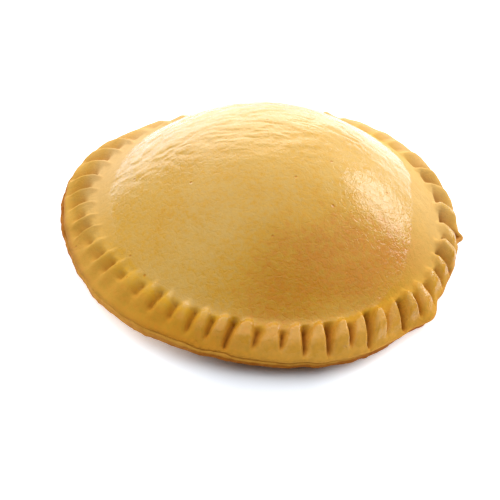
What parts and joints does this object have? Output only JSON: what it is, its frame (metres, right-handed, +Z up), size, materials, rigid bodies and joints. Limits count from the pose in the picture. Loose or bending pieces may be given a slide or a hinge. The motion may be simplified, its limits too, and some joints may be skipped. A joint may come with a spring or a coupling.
{
  "type": "chicken pie",
  "caption": "Round double-crust hand pie with a domed, egg-glazed lid, a crimped rim and a thin flat base crust.",
  "frame": {"origin": "middle of the pie's outline, on the surface that it lies on", "axes": "+Z up through the dome, -Y towards the side that the picture shows in front, +X to the picture's right"},
  "size_m": [0.1408, 0.14, 0.0433],
  "materials": {
    "glazed_crust": "golden baked pastry under an egg glaze, glossy on the dome and paler and matte beside the crimps",
    "base_crust": "golden-brown baked pastry without glaze, darkest at its torn edge"
  },
  "bodies": {
    "root": {"top_crust": "glazed_crust", "base_crust": "base_crust"}
  },
  "joints": []
}
